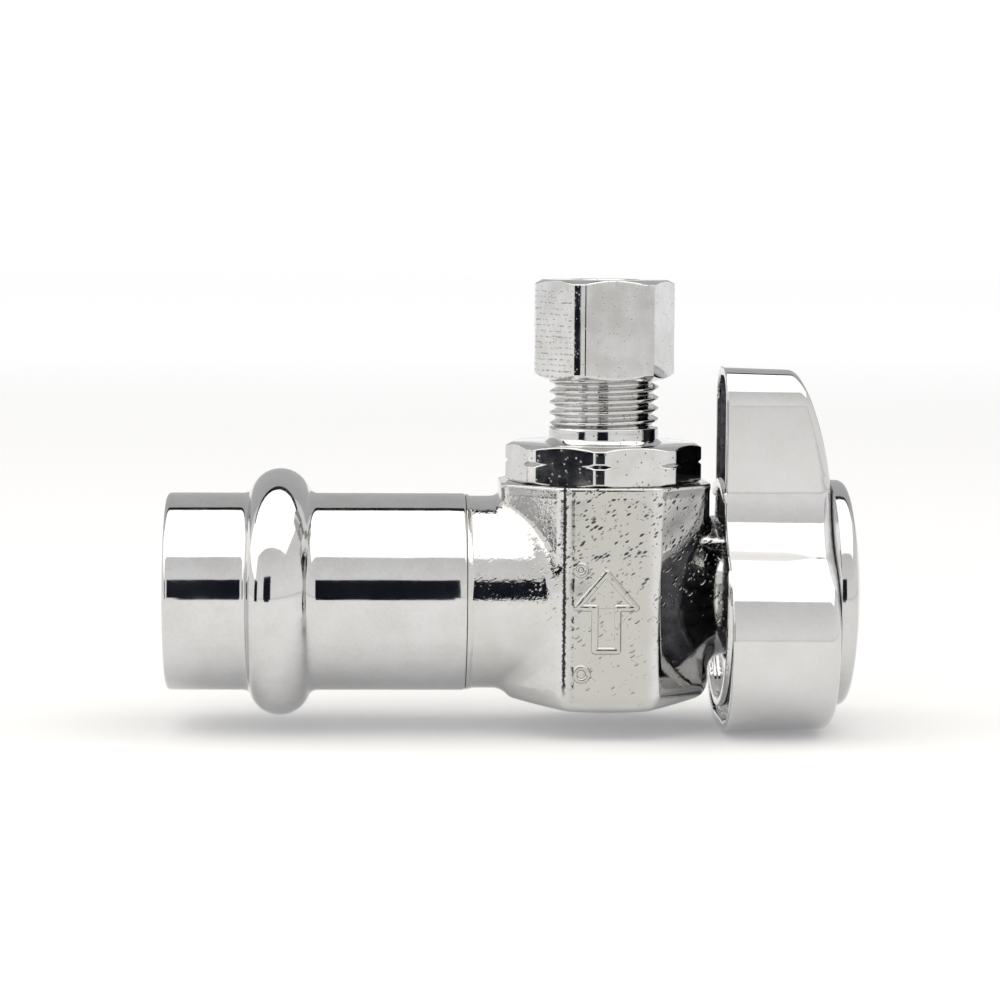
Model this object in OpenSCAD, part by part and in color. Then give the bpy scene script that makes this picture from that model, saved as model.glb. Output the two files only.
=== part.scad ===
// Quarter-turn angle stop valve: press socket inlet, compression outlet.
// Millimetres. Origin at the centre of the inlet socket's mouth.
// +X runs along the inlet and stem axis towards the handle, +Z along the outlet.

/* [Inlet socket] */
// Bore that takes a 15.9 mm copper tube
socket_bore_d = 16; // [15.98:0.01:16.08]
// Outside diameter of the socket tube
socket_od = 19.74; // [19.4:0.02:20]
// Length of the socket tube
socket_len = 29.7; // [29:0.1:31]
// Depth from the mouth to the tube stop
tube_stop_x = 20; // [19:0.5:21]
// Distance from the mouth to the middle of the seal bead
bead_x = 11.3; // [10.5:0.1:12]
// Outside diameter of the seal bead
bead_od = 24.66; // [24.4:0.02:24.8]
// Radius of the bead's round section
bead_section_r = 3; // [2.8:0.05:3.1]

/* [Body] */
// Distance from the mouth to the outlet axis
outlet_x = 43.5; // [43:0.1:44.5]
// Octagonal block, across flats
block_af = 20.7; // [20.4:0.1:21.2]
// Top face of the block
block_top_z = 11.3; // [11.1:0.1:11.4]
// Bottom face of the block
block_bottom_z = -11; // [-12:0.1:-10.5]
// Radius of the slightly bellied bottom of the block, seen from the front
block_belly_r = 58; // [40:1:120]
// Outside diameter of the neck behind the socket
neck_d = 19.3; // [18.8:0.1:19.4]
// Diameter of the stem boss
boss_d = 12.6; // [12:0.1:13]

/* [Outlet] */
// Octagonal flange of the outlet adapter, turned diameter at its corners
flange_corner_d = 19.6; // [19:0.1:19.8]
// Octagonal flange, across flats
flange_af = 18.5; // [18.3:0.1:18.7]
// Height of that flange
flange_h = 3.8; // [3.6:0.1:4]
// Major diameter of the outlet thread
outlet_thread_d = 11; // [10.8:0.05:11.05]
// Pitch of the outlet thread, 24 to the inch
thread_pitch = 1.0583; // [1.0583]
// Bore that takes a 6.35 mm supply tube
outlet_bore_d = 6.45; // [6.42:0.01:6.48]
// Hexagon nut, across flats
nut_af = 12.7; // [12.6:0.05:12.8]
// Hexagon nut, turned diameter at its corners
nut_corner_d = 14.0; // [13.9:0.05:14.3]
// Height of the nut
nut_h = 9.9; // [9.8:0.1:10]
// Bottom of the nut as it stands on the thread
nut_z = 21.4; // [21.4:0.05:21.5]

/* [Ball and stem] */
// Diameter of the ball
ball_d = 11.2; // [11:0.05:11.25]
// Diameter of the flow passage in the ball
port_d = 5.2; // [4:0.1:5.4]
// Diameter of the stem where it runs in the body
stem_d = 6.9; // [6.86:0.01:6.94]

/* [Handle] */
// Top of the lever above the stem axis
lever_top_z = 22.65; // [22:0.05:23]
// Half width of the lever
lever_half_w = 5; // [4.6:0.1:5.2]
// Back edge of the handle shell
handle_back_x = 55.3; // [55.3:0.05:55.5]
// Front face of the handle
handle_front_x = 66; // [65.9:0.05:66.2]
// Wall of the handle shell
handle_wall = 0.8; // [0.7:0.1:0.9]
// Diameter of the round cap on the handle
cap_d = 22.7; // [22.4:0.1:23]
// Front of the cap's dome
cap_apex_x = 69.1; // [69:0.05:69.3]

/* [Hidden] */
$fn = 96;

CHROME = [0.80, 0.80, 0.80];
BRASS = [0.80, 0.66, 0.36];
PTFE = [0.93, 0.93, 0.90];
RUBBER = [0.10, 0.10, 0.10];
STEEL = [0.62, 0.62, 0.64];

cut = 0.5;                                  // how far cutting shapes pass the faces they cut

// inlet side
socket_r = socket_od / 2;
spigot_r = 8.3;                             // neck spigot brazed inside the socket's back end
waterway_r = 6.4;
bead_centre_r = bead_od / 2 - bead_section_r;
groove_section_r = 1.6;
seal_section_r = 1.3;

// body
neck_r = neck_d / 2;
boss_r = boss_d / 2;
boss_end_x = 57.8;
boss_foot_r = 8;
lug_r = 7.8;                                // stop lug on the boss
lug_end_x = 57;
lug_half_angle = 44.5;
chamber_r = 6.2;                            // vertical chamber of the ball and seats
chamber_floor_z = -7;
adapter_bore_r = 7.4;
adapter_bore_z = 5.9;
seal_step_r = 8.5;
seal_step_z = 10.1;
stem_bore_r = stem_d / 2 + 0.05;
washer_seat_r = 4.35;
washer_seat_x = 51;

// outlet
flange_r = flange_corner_d / 2;
flange_top_z = block_top_z + flange_h;
flange_turn = -96;                          // a corner faces the front, slightly left
collar_r = 5.6;
collar_top_z = flange_top_z + 1.5;
thread_top_z = 24.5;
thread_depth = 0.65;
tube_seat_z = 18.5;
nut_turn = 5.2;
nut_bore_r = outlet_thread_d / 2 + 0.06;
sleeve_bottom_z = 24.75;
sleeve_len = 4.3;

// stem and ball
ball_r = ball_d / 2;
slot_x = 4.1;                               // bottom of the ball's slot, from the ball's centre
shoulder_x = 49.75;
stem_end_x = 62;
drive_x = 58.2;
groove_x = [52.2, 55.0];                    // starts of the two O-ring grooves
groove_w = 1.4;
groove_r = 2.3;
stem_seal_section_r = 0.57;

// handle
ring_r = 11.5;                              // round well inside the shell
ring_bore_r = 10.6;
ring_back_x = 55;
web_back_x = 60.6;
web_front_x = 62.2;
hub_r = 4.4;
hub_back_x = 58.6;
rib_r = 6.65;                               // inner radius of the stop rib
rib_back_x = 55.8;
cap_hole_r = 7.2;                           // hole in the front wall that takes the cap's plug
front_arc_r = 31;                           // the front leans back above front_arc_z
front_arc_z = 8;
lobe_r = 9.7;                               // round corners of the hub's lower end
lobe_c = [3.6, -3.8];
hub_fillet_r = 7;                           // between the hub and the lever
tip_r = 3.7;                                // corners of the lever's end
cap_r = cap_d / 2;
cap_dome_r = 44.2;
cap_rim_r = 0.9;

// Turned shape about the X axis: points are [radius, x].
module turned_x(points) {
    rotate([0, 90, 0]) rotate_extrude() polygon(points);
}

// Turned shape about the outlet axis: points are [radius, z].
module turned_z(points) {
    translate([outlet_x, 0, 0]) rotate_extrude() polygon(points);
}

module cylinder_x(r, x0, x1) {
    translate([x0, 0, 0]) rotate([0, 90, 0]) cylinder(r = r, h = x1 - x0);
}

module cylinder_z(r, z0, z1) {
    translate([outlet_x, 0, z0]) cylinder(r = r, h = z1 - z0);
}

// Ring of round section about the X axis.
module o_ring_x(centre_r, section_r, x) {
    translate([x, 0, 0]) rotate([0, 90, 0]) rotate_extrude() translate([centre_r, 0]) circle(r = section_r);
}

// Sector about the X axis, from one angle to the other, measured from +Z towards +Y.
module sector_x(r, x0, x1, from, to) {
    arc = [for (i = [0 : 8]) let(a = from + (to - from) * i / 8) [r * cos(a), r * sin(a)]];
    translate([x0, 0, 0]) rotate([0, 90, 0]) rotate([0, 0, 180]) mirror([0, 1, 0])
        linear_extrude(x1 - x0) polygon(concat([[0, 0]], arc));
}

// ---- inlet ----

module press_socket() {
    color(CHROME) difference() {
        union() {
            turned_x([
                [0, 0], [socket_r - 0.45, 0], [socket_r, 0.45],
                [socket_r, socket_len - 0.15], [socket_r - 0.15, socket_len], [0, socket_len]
            ]);
            o_ring_x(bead_centre_r, bead_section_r, bead_x);
        }
        cylinder_x(socket_bore_d / 2, -cut, tube_stop_x + cut);
        cylinder_x(spigot_r, tube_stop_x, socket_len + cut);
        o_ring_x(bead_centre_r, groove_section_r, bead_x);
        cylinder_x(bead_centre_r, bead_x - 1.45, bead_x + 1.45);
    }
}

module press_seal_ring() {
    color(RUBBER) o_ring_x(bead_centre_r + 0.03, seal_section_r, bead_x);
}

// ---- body ----

module block() {
    corner_r = block_af / 2 / cos(22.5);
    intersection() {
        translate([outlet_x, 0, block_bottom_z]) rotate([0, 0, 22.5])
            cylinder(r = corner_r, h = block_top_z - block_bottom_z, $fn = 8);
        // the forging's bottom edge is broken all round
        turned_z([[0, block_bottom_z], [block_af / 2 - 0.5, block_bottom_z],
                  [block_af / 2 + 2.5, block_bottom_z + 3], [block_af / 2 + 2.5, block_top_z], [0, block_top_z]]);
        // and the bottom rises a little to both sides
        translate([outlet_x, 0, block_bottom_z + block_belly_r]) rotate([90, 0, 0])
            cylinder(r = block_belly_r, h = 2 * block_af, center = true);
    }
}

// Raised arrow on the front flat: it points the way the water flows.
module flow_arrow() {
    translate([outlet_x, -block_af / 2 + 0.1, -1]) rotate([90, 0, 0]) linear_extrude(0.35)
        polygon([[-0.8, -5], [0.8, -5], [0.8, 1], [2.4, 1], [0, 4.4], [-2.4, 1], [-0.8, 1]]);
}

module stop_lug() {
    intersection() {
        cylinder_x(lug_r, outlet_x + 9, lug_end_x);
        sector_x(lug_r * 2, outlet_x + 9, lug_end_x, -lug_half_angle, lug_half_angle);
    }
}

module valve_body() {
    block_face_x = outlet_x + block_af / 2;
    color(CHROME) difference() {
        union() {
            block();
            turned_x([
                [0, tube_stop_x], [spigot_r, tube_stop_x], [spigot_r, socket_len],
                [neck_r - 0.25, socket_len], [neck_r, socket_len + 0.7], [neck_r, outlet_x], [0, outlet_x]
            ]);
            turned_x([
                [0, outlet_x], [boss_foot_r, outlet_x], [boss_foot_r, block_face_x],
                [boss_r, block_face_x + 1.4], [boss_r, boss_end_x - 0.4],
                [boss_r - 0.4, boss_end_x], [0, boss_end_x]
            ]);
            stop_lug();
            flow_arrow();
        }
        cylinder_x(waterway_r, tube_stop_x - cut, 33);
        cylinder_x(4.6, 32.5, outlet_x);
        cylinder_z(chamber_r, chamber_floor_z, adapter_bore_z + cut);
        cylinder_z(adapter_bore_r, adapter_bore_z, block_top_z + cut);
        cylinder_z(seal_step_r, seal_step_z, block_top_z + cut);
        cylinder_x(stem_bore_r, outlet_x, boss_end_x + cut);
        cylinder_x(washer_seat_r, outlet_x, washer_seat_x);
    }
}

// ---- outlet ----

// Outline of a thread drawn as rings, from the bottom up: [radius, z].
function thread_outline(r, depth, z0, z1) = [
    for (i = [0 : floor((z1 - z0) / thread_pitch) - 1])
        for (p = [[0, 0.06], [0, 0.19], [depth, 0.5], [depth, 0.63]])
            [r - p[0], z0 + (i + p[1]) * thread_pitch]
];

module flange() {
    chamfer = 0.4;
    intersection() {
        translate([outlet_x, 0, block_top_z]) rotate([0, 0, flange_turn])
            cylinder(r = flange_af / 2 / cos(22.5), h = flange_h, $fn = 8);
        difference() {
            turned_z([
                [0, block_top_z], [flange_r - 0.35, block_top_z], [flange_r, block_top_z + 0.2],
                [flange_r, flange_top_z - chamfer], [flange_r - 0.7, flange_top_z], [0, flange_top_z]
            ]);
            // V groove that marks the corners only
            turned_z([
                [flange_r - 0.25, block_top_z + 1.95], [flange_r + 0.5, block_top_z + 1.2],
                [flange_r + 0.5, block_top_z + 2.7]
            ]);
        }
    }
}

module outlet_adapter() {
    color(CHROME) difference() {
        union() {
            turned_z(concat(
                [[0, 6.9], [7, 6.9]],
                thread_outline(7.3, 0.5, 7.0, seal_step_z),
                [[6.9, seal_step_z], [6.9, block_top_z + 1], [0, block_top_z + 1]]
            ));
            flange();
            turned_z(concat(
                [[0, block_top_z + 1], [collar_r, block_top_z + 1], [collar_r, collar_top_z]],
                [[outlet_thread_d / 2 - thread_depth, collar_top_z]],
                thread_outline(outlet_thread_d / 2, thread_depth, collar_top_z, thread_top_z - 0.3),
                [[outlet_thread_d / 2 - thread_depth, thread_top_z], [0, thread_top_z]]
            ));
        }
        cylinder_z(2.4, 6, thread_top_z);
        cylinder_z(outlet_bore_d / 2, tube_seat_z, thread_top_z + cut);
        // cone that squeezes the sleeve
        turned_z([[0, thread_top_z - 1], [3.5, thread_top_z - 1], [4.45, thread_top_z],
                  [4.45, thread_top_z + cut], [0, thread_top_z + cut]]);
    }
}

module adapter_seal_ring() {
    color(RUBBER) translate([outlet_x, 0, (seal_step_z + block_top_z) / 2])
        rotate_extrude() translate([7.68, 0]) circle(r = 0.58);
}

// Seat ring with a spherical face on the ball's side.
module ball_seat(z0, z1) {
    difference() {
        cylinder_z(chamber_r - 0.05, z0, z1);
        cylinder_z(2.9, z0 - cut, z1 + cut);
        translate([outlet_x, 0, 0]) sphere(r = ball_r + 0.05);
    }
}

module upper_ball_seat() {
    color(PTFE) ball_seat(3.4, 6.85);
}

module lower_ball_seat() {
    color(PTFE) ball_seat(chamber_floor_z, -3.4);
}

module compression_sleeve() {
    top = sleeve_bottom_z + sleeve_len;
    color(BRASS) turned_z([
        [3.22, sleeve_bottom_z], [3.5, sleeve_bottom_z], [4.1, sleeve_bottom_z + 1.05],
        [4.1, top - 1.4], [3.5, top], [3.22, top]
    ]);
}

module compression_nut() {
    corner_r = nut_corner_d / 2;
    top = nut_z + nut_h;
    slope = tan(30);
    color(CHROME) difference() {
        intersection() {
            translate([outlet_x, 0, nut_z]) rotate([0, 0, nut_turn])
                cylinder(r = nut_af / 2 / cos(30), h = nut_h, $fn = 6);
            turned_z([
                [0, nut_z], [6, nut_z], [corner_r, nut_z + (corner_r - 6) * slope],
                [corner_r, top - (corner_r - 6.3) * slope], [6.3, top], [0, top]
            ]);
        }
        turned_z([
            [0, nut_z - cut], [nut_bore_r, nut_z - cut], [nut_bore_r, nut_z + 5.6], [5, nut_z + 5.6],
            [3.6, nut_z + 7.8], [3.3, nut_z + 7.9], [3.3, top + cut], [0, top + cut]
        ]);
    }
}

// ---- ball and stem ----

module ball() {
    color(CHROME) difference() {
        translate([outlet_x, 0, 0]) sphere(r = ball_r);
        cylinder_x(port_d / 2, outlet_x - ball_r - cut, outlet_x);
        cylinder_z(port_d / 2, 0, ball_r + cut);
        translate([outlet_x + slot_x, -ball_r, -1.1]) cube([ball_r, 2 * ball_r, 2.2]);
    }
}

module stem() {
    r = stem_d / 2;
    color(BRASS) difference() {
        union() {
            translate([outlet_x + slot_x + 0.1, -3.1, -1]) cube([2.4, 6.2, 2]);
            turned_x([
                [0, shoulder_x], [4.3, shoulder_x], [4.3, washer_seat_x - 0.6], [r, washer_seat_x - 0.6],
                [r, groove_x[0]], [groove_r, groove_x[0]], [groove_r, groove_x[0] + groove_w], [r, groove_x[0] + groove_w],
                [r, groove_x[1]], [groove_r, groove_x[1]], [groove_r, groove_x[1] + groove_w], [r, groove_x[1] + groove_w],
                [r, drive_x], [0, drive_x]
            ]);
            drive(3, 2.2, drive_x - cut, stem_end_x);
        }
        cylinder_x(1.65, 56.9, stem_end_x + cut);
    }
}

// Shaft with two flats that turns the handle's hub.
module drive(r, half_flat, x0, x1) {
    intersection() {
        cylinder_x(r, x0, x1);
        translate([x0, -r, -half_flat]) cube([x1 - x0, 2 * r, 2 * half_flat]);
    }
}

module stem_thrust_washer() {
    color(PTFE) difference() {
        cylinder_x(4.3, washer_seat_x - 0.55, washer_seat_x - 0.05);
        cylinder_x(stem_d / 2 + 0.05, washer_seat_x - 1, washer_seat_x + cut);
    }
}

module stem_o_ring(i) {
    color(RUBBER) o_ring_x(groove_r + stem_seal_section_r + 0.02, stem_seal_section_r, groove_x[i] + groove_w / 2);
}

// ---- handle ----

// Points of an arc, from one angle to another, in steps of about 6 degrees.
function arc(c, r, from, to) = let(n = max(2, ceil(abs(to - from) / 6)))
    [for (i = [0 : n]) let(a = from + (to - from) * i / n) [c[0] + r * cos(a), c[1] + r * sin(a)]];

// Right half of the handle's outline seen from the front, [y, z] from the bottom up,
// moved in by inset. The arcs are tangent to each other.
function half_outline(inset) = let(
    fillet_y = lever_half_w + hub_fillet_r,
    fillet_z = lobe_c[1] + sqrt(pow(lobe_r + hub_fillet_r, 2) - pow(fillet_y - lobe_c[0], 2)),
    join_a = atan2(fillet_z - lobe_c[1], fillet_y - lobe_c[0])
) concat(
    arc(lobe_c, lobe_r - inset, -90, join_a),
    arc([fillet_y, fillet_z], hub_fillet_r + inset, join_a + 180, 180),
    arc([lever_half_w - tip_r, lever_top_z - tip_r], tip_r - inset, 0, 90)
);

function outline(inset) = let(half = half_outline(inset), n = len(half))
    concat(half, [for (i = [n - 1 : -1 : 0]) [-half[i][0], half[i][1]]]);

// Solid with the handle's outline, from x0 to x1, moved in by inset.
module outline_solid(inset, x0, x1) {
    translate([x0, 0, 0]) rotate([90, 0, 90]) linear_extrude(x1 - x0) polygon(outline(inset));
}

// Everything behind the handle's front surface, moved back by inset.
module behind_front(inset) {
    front = handle_front_x - inset;
    union() {
        translate([ring_back_x - 2, -20, -20]) cube([front - ring_back_x + 2, 40, 20 + front_arc_z]);
        translate([front - front_arc_r, 20, front_arc_z]) rotate([90, 0, 0])
            intersection() {
                cylinder(r = front_arc_r, h = 40, $fn = 180);
                translate([0, -0.01, 0]) cube([front_arc_r, front_arc_r, 40]);
            }
    }
}

module handle() {
    color(CHROME) difference() {
        // shell with the round well's wall standing in it
        intersection() {
            union() {
                outline_solid(0, handle_back_x, handle_front_x);
                intersection() {
                    cylinder_x(ring_r, ring_back_x, handle_front_x);
                    outline_solid(0, ring_back_x, handle_front_x);
                }
            }
            behind_front(0);
        }
        // hollow between the shell and the well
        difference() {
            intersection() {
                outline_solid(handle_wall, handle_back_x - cut, handle_front_x);
                behind_front(handle_wall);
            }
            cylinder_x(ring_r, ring_back_x - cut, handle_front_x);
        }
        // the well, down to its web, with the stop rib left standing
        intersection() {
            outline_solid(handle_wall, ring_back_x - cut, web_back_x);
            difference() {
                cylinder_x(ring_bore_r, ring_back_x - cut, web_back_x);
                cylinder_x(hub_r, hub_back_x, web_back_x + cut);
                difference() {
                    sector_x(ring_bore_r * 2, rib_back_x, web_back_x + cut, 45.5, 224.5);
                    cylinder_x(rib_r, rib_back_x - cut, web_back_x + 2 * cut);
                }
            }
        }
        cylinder_x(cap_hole_r, web_front_x, handle_front_x + cut);
        drive(3.05, 2.25, hub_back_x - cut, web_front_x + cut);
    }
}

module screw_lock_washer() {
    color(STEEL) difference() {
        cylinder_x(3.5, web_front_x, web_front_x + 0.6);
        cylinder_x(1.9, web_front_x - cut, web_front_x + 1);
    }
}

module handle_screw() {
    head_x = web_front_x + 0.6;
    color(STEEL) difference() {
        turned_x([
            [0, 57.6], [1.2, 57.6], [1.6, 58], [1.6, head_x], [3.4, head_x],
            [3.4, head_x + 1.2], [2.6, head_x + 1.9], [0, head_x + 2.1]
        ]);
        for (a = [0, 90])
            rotate([a, 0, 0]) translate([head_x + 1, -2, -0.4]) cube([2, 4, 0.8]);
    }
}

// Points of the cap's outer face, [radius, x], moved in by inset.
function cap_face(inset) = let(
    dome_x = cap_apex_x - cap_dome_r,
    rim_a = asin((cap_r - cap_rim_r) / (cap_dome_r - cap_rim_r)),
    rim_x = dome_x + (cap_dome_r - cap_rim_r) * cos(rim_a)
) concat(
    [for (a = [90, 65, 40]) [cap_r - cap_rim_r + (cap_rim_r - inset) * sin(a), rim_x + (cap_rim_r - inset) * cos(a)]],
    [for (i = [4 : -1 : 0]) let(a = rim_a * i / 4)
        [(cap_dome_r - inset) * sin(a), dome_x + (cap_dome_r - inset) * cos(a)]]
);

module handle_cap() {
    plug_r = cap_hole_r - 0.1;
    plug_back_x = 63;
    wall = 0.8;
    color(CHROME) difference() {
        union() {
            turned_x(concat([[0, handle_front_x], [cap_r - 0.1, handle_front_x]], cap_face(0)));
            cylinder_x(plug_r, plug_back_x, handle_front_x + cut);
        }
        cylinder_x(plug_r - wall, plug_back_x - cut, handle_front_x + wall);
    }
}

valve_body();
press_socket();
press_seal_ring();
outlet_adapter();
adapter_seal_ring();
upper_ball_seat();
lower_ball_seat();
ball();
stem();
stem_thrust_washer();
stem_o_ring(0);  // inner_stem_o_ring
stem_o_ring(1);  // outer_stem_o_ring
handle();
screw_lock_washer();
handle_screw();
handle_cap();
compression_sleeve();
compression_nut();
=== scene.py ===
"""Chromed quarter-turn angle stop valve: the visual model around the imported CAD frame.
Shapes are worked out in millimetres and stored in metres."""

import math

import bpy
import numpy as np
from mathutils import Matrix, Vector


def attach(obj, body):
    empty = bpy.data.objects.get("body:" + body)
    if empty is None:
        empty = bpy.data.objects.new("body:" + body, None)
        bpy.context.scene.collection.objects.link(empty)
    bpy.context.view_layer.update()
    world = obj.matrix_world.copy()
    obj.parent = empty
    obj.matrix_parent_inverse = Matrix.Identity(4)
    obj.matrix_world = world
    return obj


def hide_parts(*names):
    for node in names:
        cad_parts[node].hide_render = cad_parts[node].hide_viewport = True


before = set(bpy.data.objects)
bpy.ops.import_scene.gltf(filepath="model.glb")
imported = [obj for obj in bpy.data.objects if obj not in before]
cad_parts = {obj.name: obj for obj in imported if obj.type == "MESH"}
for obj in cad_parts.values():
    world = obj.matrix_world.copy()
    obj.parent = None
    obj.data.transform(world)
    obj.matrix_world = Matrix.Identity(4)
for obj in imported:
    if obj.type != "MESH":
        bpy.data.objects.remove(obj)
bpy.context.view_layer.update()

MM = 0.001
OUTLET_X = 43.5                     # the outlet's axis
PITCH = 1.0583                      # outlet thread
CREASE_X = 39.1                     # painted shade line along the crease at the forging's left front edge
ROW_STEP = 0.56                     # between the rows of tool marks on the nut
BODY_START, SPIGOT_R = 29.7, 8.3    # where the socket tube ends, and the spigot inside it
BORE_R = 8.0                        # socket
TUBE_R = 9.87
BEAD_X, GROOVE_C, GROOVE_S = 11.3, 9.33, 1.6    # bead's plane, and its groove's circle


# ---------------------------------------------------------------- mesh helpers

def add_mesh(name, verts, faces, normals=None, sharp=40.0):
    """New object from millimetre vertices and rows of 3 or 4 vertex indices (-1 pads a triangle)."""
    verts = np.asarray(verts, float) * MM
    faces = np.asarray(faces, int)
    sizes = (faces >= 0).sum(1)
    loops = faces[faces >= 0]
    mesh = bpy.data.meshes.new(name)
    mesh.vertices.add(len(verts))
    mesh.vertices.foreach_set("co", verts.ravel())
    mesh.loops.add(len(loops))
    mesh.loops.foreach_set("vertex_index", loops)
    mesh.polygons.add(len(faces))
    mesh.polygons.foreach_set("loop_start", np.concatenate([[0], np.cumsum(sizes)[:-1]]))
    mesh.polygons.foreach_set("loop_total", sizes)
    mesh.polygons.foreach_set("use_smooth", np.ones(len(faces), bool))
    mesh.update(calc_edges=True)
    mesh.validate()
    if normals is not None:
        mesh.normals_split_custom_set_from_vertices(normals.tolist())
    else:
        mesh.set_sharp_from_angle(angle=math.radians(sharp))
    obj = bpy.data.objects.new(name, mesh)
    bpy.context.scene.collection.objects.link(obj)
    return obj


def place(obj, body, slot, material, *nodes):
    obj.data.materials.append(material)
    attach(obj, body)
    if nodes:
        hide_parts(*nodes)
    return obj


def soften(points, radii, steps=5, closed=True, guard=0.05):
    """Rounds the corners of a profile. Each corner's radius is in radii (0 keeps it); points are added
    beside each arc so that the shading of the flats stays flat."""
    pts = [np.array(p, float) for p in points]
    n = len(pts)
    if not hasattr(radii, "__len__"):
        radii = [radii] * n
    out = []
    for i, p in enumerate(pts):
        if not closed and i in (0, n - 1):
            out.append(p)
            continue
        a, b = pts[i - 1] - p, pts[(i + 1) % n] - p
        la, lb = np.linalg.norm(a), np.linalg.norm(b)
        a, b = a / la, b / lb
        angle = math.acos(max(-1.0, min(1.0, float(a @ b))))
        if radii[i] <= 0 or angle > math.radians(176):
            out.append(p)
            continue
        reach = min(radii[i] / math.tan(angle / 2), 0.45 * la, 0.45 * lb)
        r = reach * math.tan(angle / 2)
        centre = p + (a + b) / np.linalg.norm(a + b) * (r / math.sin(angle / 2))
        s, e = p + a * reach, p + b * reach
        if la * 0.5 - reach > guard:
            out.append(s + a * guard)
        u, v = s - centre, e - centre
        turn = math.atan2(u[0] * v[1] - u[1] * v[0], float(u @ v))
        for k in range(steps + 1):
            t = turn * k / steps
            c, q = math.cos(t), math.sin(t)
            out.append(centre + np.array([c * u[0] - q * u[1], q * u[0] + c * u[1]]))
        if lb * 0.5 - reach > guard:
            out.append(e + b * guard)
    return np.array(out)


def ring_grid(rows, closed_rows=True, caps=False):
    """Verts and faces from rows (n_rows, n_seg, 3), each row a closed ring."""
    rows = np.asarray(rows, float)
    n, m, _ = rows.shape
    index = np.arange(n * m).reshape(n, m)
    low = index if closed_rows else index[:-1]
    high = np.roll(index, -1, 0) if closed_rows else index[1:]
    faces = np.stack([low, np.roll(low, -1, 1), np.roll(high, -1, 1), high], 2).reshape(-1, 4)
    verts = rows.reshape(-1, 3)
    if caps:
        ends = [rows[0].mean(0), rows[-1].mean(0)]
        a, b = n * m, n * m + 1
        verts = np.concatenate([verts, ends])
        first, last = index[0], index[-1]
        pad = np.full(m, -1)
        faces = np.concatenate([
            faces,
            np.stack([np.roll(first, -1), first, np.full(m, a), pad], 1),
            np.stack([last, np.roll(last, -1), np.full(m, b), pad], 1),
        ])
    return verts, faces


def turn_x(profile, segs=192, **kw):
    """Turned shape about the X axis: profile rows are (radius, x)."""
    t = np.linspace(0, 2 * math.pi, segs, endpoint=False)
    rows = [np.stack([np.full(segs, x), r * np.cos(t), r * np.sin(t)], 1) for r, x in profile]
    return ring_grid(rows, **kw)


def turn_z(profile, segs=144):
    """Turned shape about the outlet axis: profile rows are (radius, z)."""
    t = np.linspace(0, 2 * math.pi, segs, endpoint=False)
    rows = [np.stack([OUTLET_X + r * np.cos(t), r * np.sin(t), np.full(segs, z)], 1) for r, z in profile]
    return ring_grid(rows)


def outward(verts, faces):
    """Turns the faces over if the closed mesh is inside out."""
    f = np.asarray(faces)
    a, b, c = verts[f[:, 0]], verts[f[:, 1]], verts[f[:, 2]]
    volume = np.einsum("ij,ij->i", a, np.cross(b, c)).sum()
    quad = f[:, 3] >= 0
    c2, d2 = verts[f[quad, 2]], verts[f[quad, 3]]
    volume += np.einsum("ij,ij->i", a[quad], np.cross(c2, d2)).sum()
    if volume < 0:
        f = f.copy()
        f[quad] = f[quad][:, ::-1]
        f[~quad, :3] = f[~quad, :3][:, ::-1]
    return f


def turned(name, verts_faces, sharp=40.0):
    verts, faces = verts_faces
    return add_mesh(name, verts, outward(verts, faces), sharp=sharp)


def circle_profile(centre_r, centre_h, section_r, steps=40):
    t = np.linspace(0, 2 * math.pi, steps, endpoint=False)
    return np.stack([centre_r + section_r * np.cos(t), centre_h + section_r * np.sin(t)], 1)


# ---------------------------------------------------------------- solid fields

def smooth_max(a, b, r):
    """Largest of two distances with a round edge of radius r."""
    return np.minimum(-r, np.maximum(a, b)) + np.hypot(np.maximum(r + a, 0), np.maximum(r + b, 0))


def smooth_min(a, b, r):
    """Smallest of two distances with a round fillet of radius r."""
    return np.maximum(r, np.minimum(a, b)) - np.hypot(np.maximum(r - a, 0), np.maximum(r - b, 0))


def noise_table(seed):
    return np.random.default_rng(seed).random((32, 32, 32)) * 2 - 1


def noise(p, scale, table):
    """Smooth noise from -1 to 1 at the rows of p."""
    q = p / scale
    i = np.floor(q).astype(int)
    f = q - i
    f = f * f * (3 - 2 * f)
    n = len(table)
    out = 0
    for dx in (0, 1):
        for dy in (0, 1):
            for dz in (0, 1):
                w = ((f[:, 0] if dx else 1 - f[:, 0]) * (f[:, 1] if dy else 1 - f[:, 1])
                     * (f[:, 2] if dz else 1 - f[:, 2]))
                out = out + w * table[(i[:, 0] + dx) % n, (i[:, 1] + dy) % n, (i[:, 2] + dz) % n]
    return out


def gradient(field, p, e):
    g = np.empty_like(p)
    for k in range(3):
        step = np.zeros(3)
        step[k] = e
        g[:, k] = (field(p + step) - field(p - step)) / (2 * e)
    return g


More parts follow.
